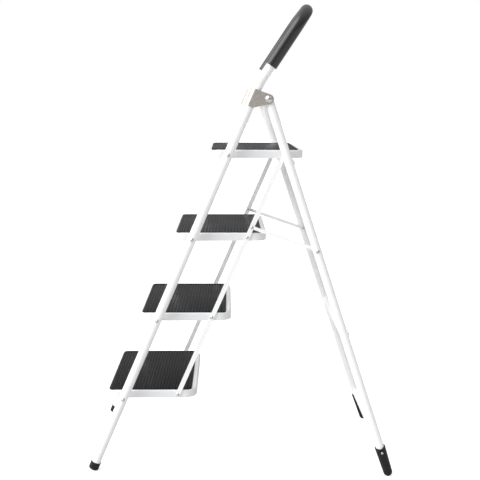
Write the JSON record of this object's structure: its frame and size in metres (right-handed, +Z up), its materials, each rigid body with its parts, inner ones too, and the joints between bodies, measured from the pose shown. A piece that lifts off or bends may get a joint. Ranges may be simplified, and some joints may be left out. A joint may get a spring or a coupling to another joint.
{
  "type": "platform step ladder",
  "caption": "Folding steel step ladder with rubber-matted treads, a wide top platform, a hinged rear frame and a bent hand loop with a foam grip.",
  "frame": {"origin": "on the floor, at the centre of the bounding box of the open ladder", "axes": "+Z up; +X to the ladder's right-hand side of its plane of symmetry, with the user climbing from -Y towards +Y"},
  "size_m": [0.4546, 0.8806, 1.3217],
  "materials": {
    "frame_white": "satin white powder coat",
    "tread_white": "satin white powder coat",
    "mat_rubber": "matt, fine ribs",
    "grip_foam": "soft matt foam",
    "black_plastic": "fine matt",
    "white_plastic": "satin",
    "zinc_plate": "zinc plated",
    "bright_plate": "bright plated",
    "dark_zinc": "dull zinc plated"
  },
  "bodies": {
    "front_frame": {"front_frame_tube": "frame_white", "hand_grip": "grip_foam", "tread_pivot_bolts": "dark_zinc", "tread_pivot_spacers": "dark_zinc", "tread_pivot_nuts": "dark_zinc", "hinge_bolts": "bright_plate", "hinge_cap_nuts": "bright_plate", "right_hinge_bracket": "zinc_plate", "left_hinge_bracket": "zinc_plate", "right_front_foot_cap": "black_plastic", "left_front_foot_cap": "black_plastic"},
    "rear_frame": {"right_rear_leg": "frame_white", "left_rear_leg": "frame_white", "upper_crossbar": "frame_white", "middle_crossbar": "frame_white", "lower_crossbar": "frame_white", "upper_crossbar_plugs": "white_plastic", "middle_crossbar_rivets": "frame_white", "rear_leg_top_plugs": "black_plastic", "brace_rear_rivets": "dark_zinc", "rear_foot_screws": "bright_plate", "right_rear_foot_cap": "black_plastic", "left_rear_foot_cap": "black_plastic"},
    "step_1": {"step_1_pan": "tread_white", "step_1_mat": "mat_rubber"},
    "step_2": {"step_2_pan": "tread_white", "step_2_mat": "mat_rubber"},
    "step_3": {"step_3_pan": "tread_white", "step_3_mat": "mat_rubber"},
    "platform": {"platform_pan": "tread_white", "platform_mat": "mat_rubber"},
    "right_link": {"right_link_bar": "frame_white", "right_link_bar_rivets": "dark_zinc", "right_link_bar_washers": "dark_zinc", "right_brace_pin": "dark_zinc"},
    "right_brace": {"right_brace": "frame_white", "right_brace_rear_tail": "dark_zinc"},
    "left_link": {"left_link_bar": "frame_white", "left_link_bar_rivets": "dark_zinc", "left_link_bar_washers": "dark_zinc", "left_brace_pin": "dark_zinc"},
    "left_brace": {"left_brace": "frame_white", "left_brace_rear_tail": "dark_zinc"}
  },
  "joints": [
    {"name": "rear_frame_fold", "type": "hinge", "parent": "front_frame", "child": "rear_frame", "pos_m": [0, 0.04262, 1.06743], "axis": [-1, 0, 0], "range_deg": [0, 41.91]},
    {"name": "step_1_fold", "type": "hinge", "parent": "front_frame", "child": "step_1", "pos_m": [0, -0.34138, 0.21943], "axis": [1, 0, 0], "range_deg": [0, 61.4]},
    {"name": "step_2_fold", "type": "hinge", "parent": "front_frame", "child": "step_2", "pos_m": [0, -0.24797, 0.4518], "axis": [1, 0, 0], "range_deg": [0, 61.4]},
    {"name": "step_3_fold", "type": "hinge", "parent": "front_frame", "child": "step_3", "pos_m": [0, -0.15456, 0.68417], "axis": [1, 0, 0], "range_deg": [0, 61.4]},
    {"name": "platform_fold", "type": "hinge", "parent": "front_frame", "child": "platform", "pos_m": [0, -0.06115, 0.91654], "axis": [1, 0, 0], "range_deg": [0, 61.4]},
    {"name": "right_link_turn", "type": "hinge", "parent": "step_3", "child": "right_link", "pos_m": [0.1795, -0.00206, 0.68793], "axis": [-1, 0, 0], "range_deg": [0, 61.4]},
    {"name": "right_brace_turn", "type": "hinge", "parent": "right_link", "child": "right_brace", "pos_m": [0.186, 0.00979, 0.71741], "axis": [-1, 0, 0], "range_deg": [0, 86.39]},
    {"name": "left_link_turn", "type": "hinge", "parent": "step_3", "child": "left_link", "pos_m": [-0.1795, -0.00206, 0.68793], "axis": [-1, 0, 0], "range_deg": [0, 61.4]},
    {"name": "left_brace_turn", "type": "hinge", "parent": "left_link", "child": "left_brace", "pos_m": [-0.186, 0.00979, 0.71741], "axis": [-1, 0, 0], "range_deg": [0, 86.39]}
  ],
  "couplings": [
    {"joint": "step_1_fold", "follows": "rear_frame_fold", "ratio": 1.465},
    {"joint": "step_2_fold", "follows": "rear_frame_fold", "ratio": 1.465},
    {"joint": "step_3_fold", "follows": "rear_frame_fold", "ratio": 1.465},
    {"joint": "platform_fold", "follows": "rear_frame_fold", "ratio": 1.465},
    {"joint": "right_link_turn", "follows": "rear_frame_fold", "ratio": 1.465},
    {"joint": "right_brace_turn", "follows": "rear_frame_fold", "ratio": 2.0612},
    {"joint": "left_link_turn", "follows": "rear_frame_fold", "ratio": 1.465},
    {"joint": "left_brace_turn", "follows": "rear_frame_fold", "ratio": 2.0612}
  ]
}
